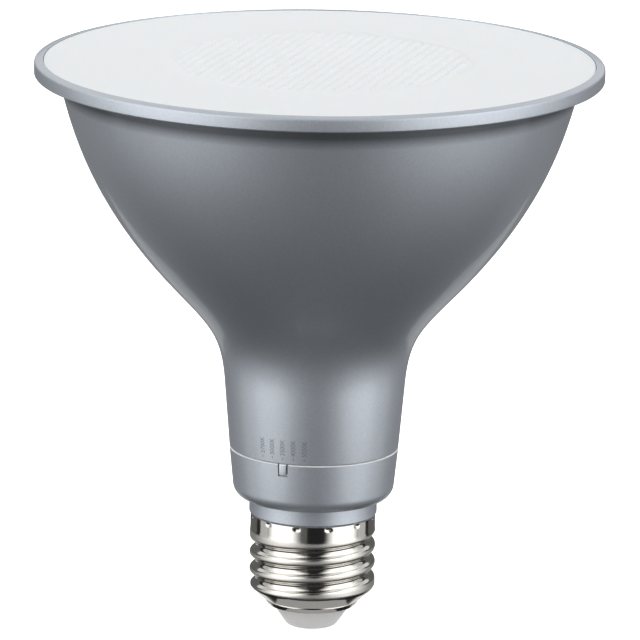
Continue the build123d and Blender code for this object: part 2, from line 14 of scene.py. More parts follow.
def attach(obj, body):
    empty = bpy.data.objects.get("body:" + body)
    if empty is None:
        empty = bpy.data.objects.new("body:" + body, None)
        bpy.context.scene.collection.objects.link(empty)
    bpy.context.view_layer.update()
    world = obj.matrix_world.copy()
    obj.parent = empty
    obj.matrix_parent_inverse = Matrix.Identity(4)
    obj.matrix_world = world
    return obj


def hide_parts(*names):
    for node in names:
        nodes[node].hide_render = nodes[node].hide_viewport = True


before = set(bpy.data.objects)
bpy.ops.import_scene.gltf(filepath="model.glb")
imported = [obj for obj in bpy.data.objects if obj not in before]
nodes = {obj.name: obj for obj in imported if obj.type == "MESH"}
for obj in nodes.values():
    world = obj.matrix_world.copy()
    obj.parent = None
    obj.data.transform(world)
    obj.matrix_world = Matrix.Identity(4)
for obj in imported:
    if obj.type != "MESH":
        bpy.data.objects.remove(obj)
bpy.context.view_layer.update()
print("pieces from the CAD:", len(nodes))

# %% [markdown]
# ## Drawing and turning
# Almost every outside piece of this lamp is round, so it can be made as on a lathe: draw half of its
# section, then spin it about the axis. The section could be a curve object, but a chain of vertices that is
# extruded from point to point keeps every number in view. A corner with a third number is rounded by an arc.

# %% Helpers for turned pieces
MM = 0.001
FULL_TURN = 2 * math.pi
SPIN_STEPS = 180
ARC_STEPS = 6
SAME_POINT = 1e-6


def clear_selection():
    """Go to object mode with nothing selected."""
    if bpy.context.mode != "OBJECT":
        bpy.ops.object.mode_set(mode="OBJECT")
    bpy.ops.object.select_all(action="DESELECT")


def pick(piece):
    """Make a piece the only one selected, and the active one."""
    clear_selection()
    piece.select_set(True)
    bpy.context.view_layer.objects.active = piece


def rounded(corners, steps=ARC_STEPS):
    """Points of a section in mm: (radius, level) stays sharp, (radius, level, r) becomes an arc."""
    points = []
    count = len(corners)
    for index, corner in enumerate(corners):
        here = Vector(corner[:2])
        if len(corner) == 2:
            points.append(here)
            continue
        to_before = (Vector(corners[index - 1][:2]) - here).normalized()
        to_after = (Vector(corners[(index + 1) % count][:2]) - here).normalized()
        half = to_before.angle(to_after) / 2
        reach = corner[2] / math.tan(half)
        centre = here + (to_before + to_after).normalized() * (corner[2] / math.sin(half))
        start = here + to_before * reach - centre
        end = here + to_after * reach - centre
        sweep = start.angle_signed(end)
        for step in range(steps + 1):
            turn = Matrix.Rotation(-sweep * step / steps, 2)
            points.append(centre + turn @ start)
    return points


def draw_section(name, points, closed=True):
    """One vertex, extruded from point to point in the XZ plane; stays in edit mode."""
    clear_selection()
    bpy.ops.mesh.primitive_plane_add(size=MM)
    piece = bpy.context.object
    piece.name = piece.data.name = name
    bpy.ops.object.mode_set(mode="EDIT")
    bpy.ops.mesh.merge(type="CENTER")
    places = [Vector((point[0] * MM, 0, point[1] * MM)) for point in points]
    bpy.ops.transform.translate(value=places[0])
    for before, after in zip(places, places[1:]):
        bpy.ops.mesh.extrude_vertices_move(TRANSFORM_OT_translate={"value": after - before})
    if closed:
        bpy.ops.object.mode_set(mode="OBJECT")
        for vertex in piece.data.vertices:
            vertex.select = vertex.index in (0, len(places) - 1)
        bpy.ops.object.mode_set(mode="EDIT")
        bpy.ops.mesh.edge_face_add()
    return piece


def turn_piece(name, points, closed=True, steps=SPIN_STEPS):
    """Spin a section about the lamp's axis and close its seam and poles."""
    piece = draw_section(name, points, closed)
    bpy.ops.mesh.select_all(action="SELECT")
    bpy.ops.mesh.spin(steps=steps, angle=FULL_TURN, center=(0, 0, 0), axis=(0, 0, 1))
    bpy.ops.mesh.select_all(action="SELECT")
    bpy.ops.mesh.remove_doubles(threshold=SAME_POINT)
    bpy.ops.mesh.normals_make_consistent(inside=False)
    bpy.ops.object.mode_set(mode="OBJECT")
    return piece


def smooth(piece, angle=30):
    """Smooth shading that keeps edges sharper than the angle."""
    pick(piece)
    bpy.ops.object.shade_smooth_by_angle(angle=math.radians(angle))


def apply_modifier(piece, kind, **settings):
    """Add a modifier with its settings and apply it."""
    pick(piece)
    bpy.ops.object.modifier_add(type=kind)
    modifier = piece.modifiers[-1]
    for name, value in settings.items():
        setattr(modifier, name, value)
    bpy.ops.object.modifier_apply(modifier=modifier.name)


def combine(piece, tool, operation):
    """Boolean with a second piece, which is used up."""
    apply_modifier(piece, "BOOLEAN", object=tool, operation=operation, solver="EXACT")
    bpy.data.objects.remove(tool)


def paint(piece, material):
    """Give a piece one material and no other."""
    piece.data.materials.clear()
    piece.data.materials.append(material)


def hand_over(piece, body, slot, *replaced):
    """Tell the frame what the piece rides on and what it stands for. The slot argument is not used."""
    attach(piece, body)
    if replaced:
        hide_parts(*replaced)
    print(piece.name, "faces:", len(piece.data.polygons))


# %% [markdown]
# ## Colours and nodes
# A paint shop names colours as hex values, which are sRGB. The shader works with linear light, so one
# function converts them. Every material is built by adding nodes one at a time with their links.

# %% Helpers for materials
# a Mix node's colour sockets share their names with its number sockets, so they go by number
COLOUR_A = 6
COLOUR_B = 7
COLOUR_OUT = 2


def linear(code):
    """Hex colour such as 9aa0a6 as linear red, green, blue and alpha, by the sRGB formula."""
    channels = [int(code[at:at + 2], 16) / 255 for at in (0, 2, 4)]
    light = [c / 12.92 if c <= 0.04045 else ((c + 0.055) / 1.055) ** 2.4 for c in channels]
    return (*light, 1.0)


def add(tree, kind, settings=None, **links):
    """Add a node, set its properties and sockets, and link other nodes' outputs to it."""
    node = tree.nodes.new(kind)
    for key, value in (settings or {}).items():
        if isinstance(value, bpy.types.NodeSocket):
            tree.links.new(value, node.inputs[key])
        elif isinstance(key, str) and hasattr(node, key):
            setattr(node, key, value)
        else:
            node.inputs[key].default_value = value
    for name, output in links.items():
        tree.links.new(output, node.inputs[name.replace("_", " ")])
    return node


def new_material(name):
    """Empty material, with its tree, its shader and the Object coordinates of a piece."""
    material = bpy.data.materials.new(name)
    material.use_nodes = True
    tree = material.node_tree
    shader = next(node for node in tree.nodes if node.type == "BSDF_PRINCIPLED")
    place = add(tree, "ShaderNodeTexCoord").outputs["Object"]
    return material, tree, shader, place


def per_size(millimetres):
    """Texture scale that repeats once in a length, in Object coordinates of metres."""
    return 1 / (millimetres * MM)


def set_shader(shader, **values):
    """Constant values on the shader's own sockets."""
    for name, value in values.items():
        shader.inputs[name.replace("_", " ")].default_value = value


# %% [markdown]
# ## Silver paint
# The body is moulded plastic sprayed with metallic paint: aluminium flakes in a clear binder. It gives the
# eye a broad soft reflection, slightly blue, with a fine sparkle, and the clear coat adds a thin sheen. Real
# flakes are about 0.03 mm, too fine to show here, so they are drawn as a grain of 0.35 mm that varies colour
# and roughness a little. A picture of paint could do the same, but noise has no edges and needs no unwrap.

# %% Silver paint
FLAKE = 0.35
CLOUD = 22.0
CLOUD_SHARE = 0.25
SILVER_TONES = ((0.3, "bac0c8"), (0.7, "c8ced6"))
silver, tree, shader, place = new_material("silver_metallic_paint")
flake = add(tree, "ShaderNodeTexNoise", {"Scale": per_size(FLAKE), "Detail": 2.0}, Vector=place)
cloud = add(tree, "ShaderNodeTexNoise", {"Scale": per_size(CLOUD), "Detail": 1.0}, Vector=place)
blend = add(tree, "ShaderNodeMix", {"Factor": CLOUD_SHARE}, A=flake.outputs["Fac"], B=cloud.outputs["Fac"])
tone = add(tree, "ShaderNodeValToRGB", Fac=blend.outputs["Result"])
for element, (position, code) in zip(tone.color_ramp.elements, SILVER_TONES):
    element.position = position
    element.color = linear(code)
gloss = add(tree, "ShaderNodeMapRange", {"To Min": 0.49, "To Max": 0.55}, Value=flake.outputs["Fac"])
grain = add(tree, "ShaderNodeBump", {"Strength": 0.12, "Distance": 0.01 * MM}, Height=flake.outputs["Fac"])
tree.links.new(gloss.outputs["Result"], shader.inputs["Roughness"])
tree.links.new(grain.outputs["Normal"], shader.inputs["Normal"])
set_shader(shader, Coat_Weight=0.4, Coat_Roughness=0.1)
print("made", silver.name)

# %% [markdown]
# ## Painted shade and highlight
# Two places differ, and their height picks them out. A band of the bowl under the rim is painted darker, as
# painted shade where the rim's shadow falls. At the sharp top edge of the selector ring a pale line with no
# metal in it is painted at the seam, as a painted highlight where the edge catches the light. Each could be a
# material of its own, but a mask inside the one paint leaves no joint to hide.

# %% Painted shade and highlight
RIM_CORNER = (113.4, 118.4)
RIM_SHADES = ((0.5, 0.3), (0.96, 0.3), (0.97, 1.0))  # share of the corner's height, light left
RING_EDGE = 39.2
RING_EDGE_REACH = 0.11
FLAKED_METALLIC = 0.88
EDGE_HIGHLIGHT_TONE = "f4f5f6"
height = add(tree, "ShaderNodeSeparateXYZ", Vector=place)
# painted shade: the bowl grows darker in a band under the rim, where the rim's shadow falls
below_rim = add(
    tree, "ShaderNodeMapRange", {"From Min": RIM_CORNER[0] * MM, "From Max": RIM_CORNER[1] * MM},
    Value=height.outputs["Z"])
reach = add(tree, "ShaderNodeValToRGB", Fac=below_rim.outputs["Result"])
for element in reach.color_ramp.elements:
    element.color = (1, 1, 1, 1)
for position, light in RIM_SHADES:
    reach.color_ramp.elements.new(position).color = (light, light, light, 1)
shaded = add(tree, "ShaderNodeMix", {
    "data_type": "RGBA", "blend_type": "MULTIPLY", "Factor": 1.0,
    COLOUR_A: tone.outputs["Color"], COLOUR_B: reach.outputs["Color"]})
# painted highlight: a pale line with no metal in it round the ring's top edge, where the edge would catch the
# light
edge_highlight = add(tree, "ShaderNodeMath", {
    "operation": "COMPARE", 0: height.outputs["Z"], 1: RING_EDGE * MM, 2: RING_EDGE_REACH * MM})
highlighted = add(tree, "ShaderNodeMix", {
    "data_type": "RGBA", "Factor": edge_highlight.outputs["Value"],
    COLOUR_A: shaded.outputs[COLOUR_OUT], COLOUR_B: linear(EDGE_HIGHLIGHT_TONE)})
flaked = add(
    tree, "ShaderNodeMapRange", {"To Min": FLAKED_METALLIC, "To Max": 0.0}, Value=edge_highlight.outputs["Value"])
tree.links.new(highlighted.outputs[COLOUR_OUT], shader.inputs["Base Color"])
tree.links.new(flaked.outputs["Result"], shader.inputs["Metallic"])
print("thin places added to", silver.name)

# %% [markdown]
# ## Bowl and neck
# The body of the lamp is one thin moulding: a straight tapered neck that opens into a bowl. Its outline is
# two Bezier arcs that meet smoothly, as a draughtsman would draw it. The inside is drawn too, so that the
# piece is a closed wall and not a paper-thin skin.

# %% Bowl and neck
NECK_FOOT = Vector((17.69, 39.45))
NECK_HEAD = Vector((18.87, 53.35))
BOWL_WAIST = Vector((30.031, 73.705))
BOWL_MOUTH = Vector((54.15, 118.25))
WAIST_SLOPE = 0.813
NECK_RISE = (NECK_HEAD - NECK_FOOT).normalized()
WAIST_RISE = Vector((math.cos(WAIST_SLOPE), math.sin(WAIST_SLOPE)))
MOUTH_RISE = Vector((0.2756, 0.9613))
NECK_HANDLE = 9.651
WAIST_HANDLES = (11.357, 27.599)
MOUTH_HANDLE = 8.666
OUTSIDE_STEPS = 28
INSIDE_STEPS = 20
WALL = 1.6
FLOOR_TOP = 41.35
LIP_FOOT = 38.15
FLOOR_HOLE = 12.6
LIP_RADII = (14.62, 15.62)
SEAM_ROUND = 0.1


def bowl_curve(inset, steps):
    """Outline of the bowl from the neck to the mouth, moved inwards by inset."""
    lower = interpolate_bezier(
        NECK_HEAD, NECK_HEAD + NECK_RISE * NECK_HANDLE,
        BOWL_WAIST - WAIST_RISE * WAIST_HANDLES[0], BOWL_WAIST, steps)
    upper = interpolate_bezier(
        BOWL_WAIST, BOWL_WAIST + WAIST_RISE * WAIST_HANDLES[1],
        BOWL_MOUTH - MOUTH_RISE * MOUTH_HANDLE, BOWL_MOUTH, steps)
    line = [point.to_2d() for point in lower] + [point.to_2d() for point in upper[1:]]
    moved = []
    for index, point in enumerate(line):
        along = line[min(index + 1, len(line) - 1)] - line[max(index - 1, 0)]
        along.normalize()
        moved.append(point + Vector((-along.y, along.x)) * inset)
    return moved


outside = bowl_curve(0, OUTSIDE_STEPS)
inside = [point for point in bowl_curve(WALL, INSIDE_STEPS) if point.y < BOWL_MOUTH.y]
inner_slope = NECK_RISE.x / NECK_RISE.y
floor_radius = inside[0].x - (inside[0].y - FLOOR_TOP) * inner_slope
inner_mouth = inside[-1].x + (BOWL_MOUTH.y - inside[-1].y) * MOUTH_RISE.x / MOUTH_RISE.y
foot = rounded([
    (LIP_RADII[0], NECK_FOOT.y), (LIP_RADII[0], LIP_FOOT), (LIP_RADII[1], LIP_FOOT),
    (LIP_RADII[1], NECK_FOOT.y), (*NECK_FOOT, SEAM_ROUND), tuple(NECK_HEAD)])[:-1]
housing = turn_piece(
    "bowl_and_neck",
    [(FLOOR_HOLE, FLOOR_TOP), (FLOOR_HOLE, NECK_FOOT.y)] + foot + outside
    + [(inner_mouth, BOWL_MOUTH.y)] + inside[::-1] + [(floor_radius, FLOOR_TOP)])
paint(housing, silver)
smooth(housing)
hand_over(housing, "lamp", "silver_paint", "outer_housing")

# %% [markdown]
# ## Bezel
# A narrow ring holds the lens: an upright band, a rounded edge that catches the light, and a slope down to
# the lens. Below it a spigot sits inside the bowl. A bevelled torus would give the band alone, but a drawn
# section also gives the seat and the spigot.

# %% Bezel
RIM_RADIUS = 59.0
RIM_LEVELS = (118.25, 120.95)
RIM_ROUNDS = (0.35, 0.45)
LENS_BORE = 57.1
LENS_TOP = 121.35
LENS_SEAT = 119.35
LENS_LIP_ROUND = 0.12
LEDGE_BORE = 51.1
SPIGOT_FOOT = 116.05
SPIGOT_RADII = (51.7, 52.33)
bezel = turn_piece("lens_bezel", rounded([
    (LEDGE_BORE, SPIGOT_FOOT), (SPIGOT_RADII[0], SPIGOT_FOOT), (SPIGOT_RADII[1], RIM_LEVELS[0]),
    (RIM_RADIUS, RIM_LEVELS[0], RIM_ROUNDS[0]), (RIM_RADIUS, RIM_LEVELS[1], RIM_ROUNDS[1]),
    (LENS_BORE, LENS_TOP, LENS_LIP_ROUND), (LENS_BORE, LENS_SEAT), (LEDGE_BORE, LENS_SEAT)]))
paint(bezel, silver)
smooth(bezel)
hand_over(bezel, "lamp", "silver_paint", "front_bezel")

# %% [markdown]
# ## Selector ring
# The ring turns on the neck of the cap to choose one of five colours of light. It is turned like the bowl:
# a rounded foot, an outside that carries on the taper of the neck, a small chamfer at the seam and, inside,
# a hollow round the hub that runs on the neck.

# %% Selector ring
RING_LEVELS = (28.4, 39.3)
RING_BORE = 12.75
RING_FOOT_RADIUS = 16.6
RING_FOOT_ROUND = 3.1
RING_FOOT_STEPS = 12
RING_SHOULDER = (17.69, 39.1)
RING_LIP_RADIUS = 17.42
HOLLOW_RADII = (15.15, 16.1)
HOLLOW_FLOOR = 30.0
HUB_RADIUS = 14.35
HUB_TOP = 31.4
ring = turn_piece("selector_ring_skin", rounded([
    (RING_BORE, RING_LEVELS[0]), (RING_FOOT_RADIUS, RING_LEVELS[0], RING_FOOT_ROUND), RING_SHOULDER,
    (RING_LIP_RADIUS, RING_LEVELS[1]), (HOLLOW_RADII[1], RING_LEVELS[1]), (HOLLOW_RADII[0], HOLLOW_FLOOR),
    (HUB_RADIUS, HOLLOW_FLOOR), (HUB_RADIUS, HUB_TOP), (RING_BORE, HUB_TOP)], steps=RING_FOOT_STEPS))
print("turned", ring.name)

# %% [markdown]
# ## Pointer and finger
# At its top edge the ring has a small pointer in a narrow moat, whose shadow draws the pointer's outline.
# Inside, a finger pushes the slider of the switch. Moat, pointer and finger start as cubes: a difference
# cuts the first out of the ring, and unions make one solid of the rest.

# %% Pointer and finger
POINTER_ANGLE = -111.3
MOAT = ((16.9, -1.1, 36.6), (19.0, 1.1, 40.0))
POINTER = ((16.5, -0.75, 36.95), (17.85, 0.75, 39.3))
POINTER_BEVEL = 0.15
FINGER_ANGLE = 90
FINGER = ((11.46, -0.7, 33.4), (16.0, 0.7, 35.8))
FINGER_TIP = (0, 11.46, 34.6)
FINGER_TIP_RADIUS = 1.1
FINGER_TIP_HEIGHT = 2.4
FINGER_TIP_SIDES = 32


def bar(name, low, high, bevel=0.0):
    """Cube stretched between two corners in mm, with its edges bevelled."""
    clear_selection()
    low, high = Vector(low) * MM, Vector(high) * MM
    bpy.ops.mesh.primitive_cube_add(size=1)
    piece = bpy.context.object
    piece.name = name
    bpy.ops.object.mode_set(mode="EDIT")
    bpy.ops.transform.resize(value=high - low)
    bpy.ops.transform.translate(value=(low + high) / 2)
    if bevel:
        bpy.ops.mesh.bevel(offset=bevel * MM, segments=3, affect="EDGES")
    bpy.ops.object.mode_set(mode="OBJECT")
    return piece


def swing(piece, angle):
    """Turn a piece's mesh about the lamp's axis, anticlockwise from above."""
    piece.data.transform(Matrix.Rotation(math.radians(angle), 4, "Z"))


moat = bar("moat", *MOAT)
swing(moat, POINTER_ANGLE)
combine(ring, moat, "DIFFERENCE")
pointer = bar("pointer", *POINTER, bevel=POINTER_BEVEL)
swing(pointer, POINTER_ANGLE)
combine(ring, pointer, "UNION")
finger = bar("finger", *FINGER)
swing(finger, FINGER_ANGLE)
clear_selection()
bpy.ops.mesh.primitive_cylinder_add(
    vertices=FINGER_TIP_SIDES, radius=FINGER_TIP_RADIUS * MM, depth=FINGER_TIP_HEIGHT * MM,
    location=[distance * MM for distance in FINGER_TIP])
finger_tip = bpy.context.object
combine(finger, finger_tip, "UNION")
combine(ring, finger, "UNION")
paint(ring, silver)
smooth(ring)
hand_over(ring, "ring", "silver_paint", "selector_ring")

# %% [markdown]
# ## Screw shell
# The shell is thin brass strip, drawn into a cup, rolled to a round thread and plated with nickel. It is
# made in the same order here: a plain cup with a bead on its cone is turned, then each point of it is
# pressed in as far as the roll would press it, and last the sheet gets its thickness. A Screw modifier could
# sweep a thread, but it can't let the thread run out at both ends. A row of punch marks round the top holds
# the shell on the neck.

# %% Screw shell: how deep roll and punch press
CREST_RADIUS = 13.2
BAND_RADIUS = 13.1
THREAD_PITCH = 3.629
THREAD_DEPTH = 1.05
TOP_GROOVE = 19.84
FULL_TURNS = 2.5
FADE_TURNS = 0.3
FADE_LIFT = 1.17
MARK_COUNT = 12
MARK_START = 15.0
MARK_LEVEL = 24.25
MARK_RADIUS = 0.55
MARK_DEPTH = 0.4
MARK_STEEPNESS = 1.5


def groove_depth(angle, level):
    """How deep the roll presses at a place on the shell: arcs of equal radius for root and crest."""
    turns_down = (TOP_GROOVE - level) / THREAD_PITCH
    turn = round(turns_down + angle / FULL_TURN) - angle / FULL_TURN
    past_end = max(-turn, turn - FULL_TURNS, 0) / FADE_TURNS
    aside = abs(turns_down - turn) * THREAD_PITCH
    half_pitch = THREAD_PITCH / 2
    flank = 2 * math.atan(THREAD_DEPTH / half_pitch)
    roll = half_pitch / (2 * math.sin(flank))
    if aside < half_pitch / 2:
        depth = THREAD_DEPTH - roll + math.sqrt(roll ** 2 - aside ** 2)
    else:
        depth = roll - math.sqrt(roll ** 2 - (half_pitch - aside) ** 2)
    return max(depth - past_end ** 2 * FADE_LIFT, 0)


def punch_depth(angle, level):
    """How deep the nearest punch mark is at a place on the shell."""
    spacing = FULL_TURN / MARK_COUNT
    from_start = angle - math.radians(MARK_START)
    aside = (from_start - round(from_start / spacing) * spacing) * BAND_RADIUS
    share = min(math.hypot(aside, level - MARK_LEVEL) / MARK_RADIUS, 1)
    return MARK_DEPTH * (1 - share ** 2) ** MARK_STEEPNESS


print("thread depth at the top groove:", groove_depth(0, TOP_GROOVE))

# %% Screw shell: turn the cup, press it and give it thickness
SHELL_TOP = 24.8
CYLINDER_FOOT = 9.6
BAND_STEP = (20.9, 21.9)
CONE_MOUTH = ((8.45, 5.15), (9.35, 5.2, 0.35))
CONE_BEAD = ((10.05, 6.3, 0.2), (9.97, 6.45), (10.35, 6.6, 0.2))
CONE_SHOULDER = (12.9, 8.9, 1.0)
ROW = 0.14
SHEET = 0.5
SHELL_STEPS = 240


def rows(low, high):
    """Points of a straight run, close enough together to be rolled."""
    low, high = Vector(low), Vector(high)
    count = math.ceil((high - low).length / ROW)
    return [low.lerp(high, step / count) for step in range(count)]


cup = rounded([*CONE_MOUTH, *CONE_BEAD, CONE_SHOULDER, (CREST_RADIUS, CYLINDER_FOOT)])[:-1]
cup += rows((CREST_RADIUS, CYLINDER_FOOT), (CREST_RADIUS, BAND_STEP[0]))
cup += rows((CREST_RADIUS, BAND_STEP[0]), (BAND_RADIUS, BAND_STEP[1]))
cup += rows((BAND_RADIUS, BAND_STEP[1]), (BAND_RADIUS, SHELL_TOP)) + [Vector((BAND_RADIUS, SHELL_TOP))]
shell = turn_piece("rolled_screw_shell", cup, closed=False, steps=SHELL_STEPS)
for vertex in shell.data.vertices:
    radius = vertex.co.xy.length / MM
    level = vertex.co.z / MM
    angle = math.atan2(vertex.co.y, vertex.co.x)
    pressed = min(radius, CREST_RADIUS - groove_depth(angle, level)) - punch_depth(angle, level)
    vertex.co.xy = vertex.co.xy * (pressed / radius)
apply_modifier(shell, "SOLIDIFY", thickness=SHEET * MM, offset=-1.0)
smooth(shell, angle=50)
hand_over(shell, "lamp", "nickel_plate", "screw_shell")

# %% [markdown]
# ## Insulator and centre contact
# Below the shell a pale moulded cone keeps the two contacts apart, and a brass rivet at its tip is the
# second contact. Both are turned. They are small, so rounded edges are what makes them look real.

# %% Insulator and centre contact
CONTACT_SEAT = 0.6
INSULATOR_HOLE = 1.55
INSULATOR_TIP = 5.2
INSULATOR_TIP_ROUND = 1.3
INSULATOR_SHOULDER = (8.3, 5.15)
FLANGE_RADIUS = 9.0
FLANGE_LEVELS = (5.95, 7.35)
RIVET_HEAD = 2.7
RIVET_HEAD_ROUND = 0.35
RIVET_SHANK = 1.4
RIVET_TOP = 8.95
RIVET_TOP_ROUND = 0.3
insulator = turn_piece("insulator_cone", rounded([
    (INSULATOR_HOLE, CONTACT_SEAT), (INSULATOR_TIP, CONTACT_SEAT, INSULATOR_TIP_ROUND), INSULATOR_SHOULDER,
    (INSULATOR_SHOULDER[0], FLANGE_LEVELS[0]), (FLANGE_RADIUS, FLANGE_LEVELS[0]),
    (FLANGE_RADIUS, FLANGE_LEVELS[1]), (INSULATOR_HOLE, FLANGE_LEVELS[1])]))
smooth(insulator)
hand_over(insulator, "lamp", "pale_insulator", "cap_insulator")
contact = turn_piece("contact_rivet", rounded([
    (0, 0), (RIVET_HEAD, 0, RIVET_HEAD_ROUND), (RIVET_HEAD, CONTACT_SEAT), (RIVET_SHANK, CONTACT_SEAT),
    (RIVET_SHANK, RIVET_TOP, RIVET_TOP_ROUND), (0, RIVET_TOP)]))
smooth(contact)
hand_over(contact, "lamp", "contact_brass", "centre_contact")

# %% [markdown]
# ## Lens
# The front cover is frosted plastic with a field of small pillow lenses in its middle, which spread the
# light. They are too many to place by hand, so they start as the cells of one grid. The grid is slanted
# until its rows run 60 degrees apart, and each cell of the field is inset three times, a little higher each
# time, so that it becomes a pillow. The grid then meets a turned disc, and only what lies in both is kept.

# %% Lens
LENS_RADIUS = 57.0
LENS_EDGE_ROUND = 0.35
PILLOW_PITCH = 2.5
PILLOW_FIELD = 31.0
PILLOW_ROWS = (74.5, 134.5)
PILLOW_STEPS = ((0.2, 0.13), (0.3, 0.09), (0.3, 0.04))  # inset and rise of each step
PILLOW_BACKING = 5.0
GRID_CELLS = 64
pillow_height = sum(rise for _, rise in PILLOW_STEPS)
lens = turn_piece("frosted_lens", rounded([
    (0, LENS_SEAT), (LENS_RADIUS, LENS_SEAT), (LENS_RADIUS, LENS_TOP, LENS_EDGE_ROUND), (0, LENS_TOP)]))
clear_selection()
bpy.ops.mesh.primitive_grid_add(
    x_subdivisions=GRID_CELLS, y_subdivisions=GRID_CELLS, size=GRID_CELLS * PILLOW_PITCH * MM,
    location=(0, 0, (LENS_TOP - pillow_height) * MM))
pillows = bpy.context.object
bpy.ops.object.transform_apply()
slant = Matrix.Identity(4)
for column, angle in enumerate(PILLOW_ROWS):
    slant[0][column] = math.cos(math.radians(angle))
    slant[1][column] = math.sin(math.radians(angle))
pillows.data.transform(slant)
bpy.ops.object.mode_set(mode="EDIT")
bpy.ops.mesh.select_mode(type="FACE")
bpy.ops.mesh.select_all(action="DESELECT")
bpy.ops.object.mode_set(mode="OBJECT")
for face in pillows.data.polygons:
    face.select = face.center.xy.length < PILLOW_FIELD * MM
bpy.ops.object.mode_set(mode="EDIT")
for inset, rise in PILLOW_STEPS:
    bpy.ops.mesh.inset(thickness=inset * MM, depth=rise * MM, use_individual=True)
bpy.ops.mesh.select_mode(type="VERT")
bpy.ops.object.mode_set(mode="OBJECT")
apply_modifier(pillows, "SOLIDIFY", thickness=PILLOW_BACKING * MM, offset=-1.0)
combine(lens, pillows, "INTERSECT")
smooth(lens, angle=40)
hand_over(lens, "lamp", "frosted_lens", "front_lens")

# %% [markdown]
# ## Frosted plastic
# The lens is polycarbonate with a matt, milky finish. Light enters it and scatters before it comes back,
# so it looks white and soft, and only a dull sheen shows on its surface. The frost is drawn as specks of
# 0.4 mm, coarser than the real ones, which are too fine to show.

# %% Frosted plastic
FROST = 0.4
FROST_TONES = ("ebeef1", "f4f6f8")
frost, tree, shader, place = new_material("frosted_polycarbonate")
speck = add(tree, "ShaderNodeTexNoise", {"Scale": per_size(FROST), "Detail": 2.0}, Vector=place)
haze = add(tree, "ShaderNodeValToRGB", Fac=speck.outputs["Fac"])
for element, code in zip(haze.color_ramp.elements, FROST_TONES):
    element.color = linear(code)
matt = add(tree, "ShaderNodeBump", {"Strength": 0.15, "Distance": 0.01 * MM}, Height=speck.outputs["Fac"])
tree.links.new(haze.outputs["Color"], shader.inputs["Base Color"])
tree.links.new(matt.outputs["Normal"], shader.inputs["Normal"])
set_shader(shader, Roughness=0.42, IOR=1.58, Subsurface_Weight=0.15, Subsurface_Scale=2 * MM)
paint(lens, frost)
print("made", frost.name)

# %% [markdown]
# ## Nickel plate
# Bright nickel is a warm, almost mirror-like metal. Rolling leaves faint rings round the shell, so the
# roughness varies in fine bands along the axis, drawn at 0.25 mm, coarser than the real ones. The crests of
# the thread are rubbed matt, so the eye sees each of them as a soft pale line.

# %% Nickel plate
ROLL_MARK = 0.25
ROLL_STRETCH = (0.05, 0.05, 1.0)
RUBBED_RADII = (13.02, 13.2)
RUBBED_LEVELS = (21.6, 21.2)
RUBBED_ROUGHNESS = 0.35
nickel, tree, shader, place = new_material("bright_nickel_plate")
bands = add(tree, "ShaderNodeMapping", {"Scale": ROLL_STRETCH}, Vector=place)
rings = add(
    tree, "ShaderNodeTexNoise", {"Scale": per_size(ROLL_MARK), "Detail": 2.0}, Vector=bands.outputs["Vector"])
polish = add(tree, "ShaderNodeMapRange", {"To Min": 0.07, "To Max": 0.16}, Value=rings.outputs["Fac"])
spot = add(tree, "ShaderNodeSeparateXYZ", Vector=place)
level_plane = add(tree, "ShaderNodeCombineXYZ", X=spot.outputs["X"], Y=spot.outputs["Y"])
from_axis = add(tree, "ShaderNodeVectorMath", {"operation": "LENGTH"}, Vector=level_plane.outputs["Vector"])
crest = add(
    tree, "ShaderNodeMapRange", {"From Min": RUBBED_RADII[0] * MM, "From Max": RUBBED_RADII[1] * MM},
    Value=from_axis.outputs["Value"])
below_band = add(
    tree, "ShaderNodeMapRange", {"From Min": RUBBED_LEVELS[0] * MM, "From Max": RUBBED_LEVELS[1] * MM},
    Value=spot.outputs["Z"])
rubbed = add(tree, "ShaderNodeMath", {
    "operation": "MULTIPLY", 0: crest.outputs["Result"], 1: below_band.outputs["Result"]})
wear = add(tree, "ShaderNodeMath", {
    "operation": "MULTIPLY_ADD",
    0: rubbed.outputs["Value"], 1: RUBBED_ROUGHNESS, 2: polish.outputs["Result"]})
tree.links.new(wear.outputs["Value"], shader.inputs["Roughness"])
set_shader(shader, Base_Color=linear("d5d2cc"), Metallic=1.0)
paint(shell, nickel)
print("made", nickel.name)

# %% [markdown]
# ## Plain finishes
# The other pieces are ordinary shop materials: moulded plastics, solder mask, brass, pressed aluminium.
# Each gets two tones mixed by a grain of its own size, and a roughness that follows the same grain. Grains
# finer than 0.2 mm wouldn't show, so they are drawn coarser. One table lists the finishes, because they
# differ only in their numbers.

# %% Plain finishes
ROUGHNESS_SPREAD = 0.05
RELIEF = 0.05
